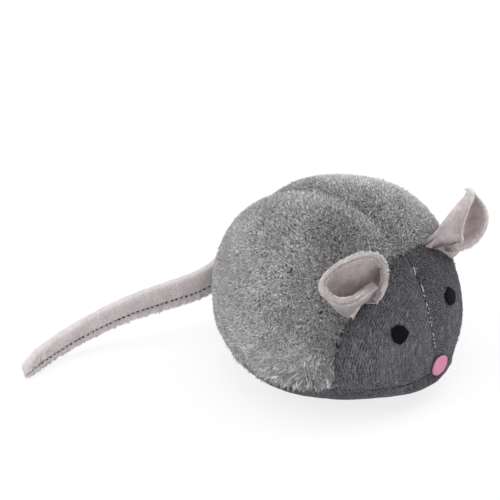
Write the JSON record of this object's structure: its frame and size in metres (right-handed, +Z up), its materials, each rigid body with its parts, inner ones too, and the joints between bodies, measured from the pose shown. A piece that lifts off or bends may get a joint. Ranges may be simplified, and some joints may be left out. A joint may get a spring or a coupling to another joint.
{
  "type": "squeaky toy mouse",
  "caption": "Stuffed pet toy mouse with plush back, knit face, folded fleece ears, strip tail and an electronic squeak capsule with a sprung press button inside.",
  "frame": {"origin": "middle of the flat foot of the body, on the surface that the toy stands on", "axes": "+X from the rump to the nose, +Y to the mouse's left, +Z up"},
  "size_m": [0.1347, 0.133, 0.0733],
  "materials": {
    "plush": "short grey pile plush",
    "face_knit": "brushed dark grey knit",
    "base_cloth": "grey woven cloth",
    "fibre_fill": "polyester fibre fill",
    "eye_felt": "near-black felt",
    "nose_felt": "pink felt",
    "ear_fleece": "pinkish grey fleece",
    "tail_velour": "pale pinkish grey velour",
    "capsule_plastic": "moulded ivory plastic",
    "button_plastic": "moulded grey plastic",
    "steel": "plain steel",
    "cell_steel": "nickel-plated steel",
    "contact_metal": "plated spring strip",
    "board": "green lacquered board",
    "black_resin": "black moulded resin",
    "speaker_metal": "pressed steel",
    "speaker_film": "clear film",
    "magnet": "ground magnet",
    "red_wire": "red insulation",
    "black_wire": "black insulation"
  },
  "bodies": {
    "body": {"plush_left": "plush", "plush_right": "plush", "face_left": "face_knit", "face_right": "face_knit", "base_panel": "base_cloth", "stuffing": "fibre_fill", "eye_left": "eye_felt", "eye_right": "eye_felt", "nose": "nose_felt", "capsule_base": "capsule_plastic", "capsule_cover": "capsule_plastic", "screw_1": "steel", "screw_2": "steel", "cell_1": "cell_steel", "cell_2": "cell_steel", "cell_3": "cell_steel", "contact_negative": "contact_metal", "contact_positive": "contact_metal", "circuit_board": "board", "sound_chip": "black_resin", "tact_switch": "black_resin", "button_spring": "steel", "speaker_frame": "speaker_metal", "speaker_diaphragm": "speaker_film", "speaker_magnet": "magnet", "lead_red": "red_wire", "lead_black": "black_wire"},
    "left_ear": {"ear_left": "ear_fleece"},
    "right_ear": {"ear_right": "ear_fleece"},
    "tail_strip": {"tail": "tail_velour"},
    "button": {"press_button": "button_plastic"}
  },
  "joints": [
    {"name": "ear_left_fold", "type": "hinge", "parent": "body", "child": "left_ear", "pos_m": [0.02838, 0.0223, 0.04876], "axis": [0, 0.8028, -0.5963], "range_deg": [-10, 30], "stiffness_Nm_per_rad": 0.01},
    {"name": "ear_right_fold", "type": "hinge", "parent": "body", "child": "right_ear", "pos_m": [0.02838, -0.0223, 0.04876], "axis": [0, 0.8028, 0.5963], "range_deg": [-10, 30], "stiffness_Nm_per_rad": 0.01},
    {"name": "tail_swing", "type": "hinge", "parent": "body", "child": "tail_strip", "pos_m": [-0.05229, 0, 0.027], "axis": [0, 0, 1], "range_deg": [-135, 5]},
    {"name": "button_press", "type": "slide", "parent": "body", "child": "button", "axis": [0, 0, -1], "range_m": [0, 0.0015], "stiffness_N_per_m": 300, "deforming": ["button_spring"]}
  ]
}
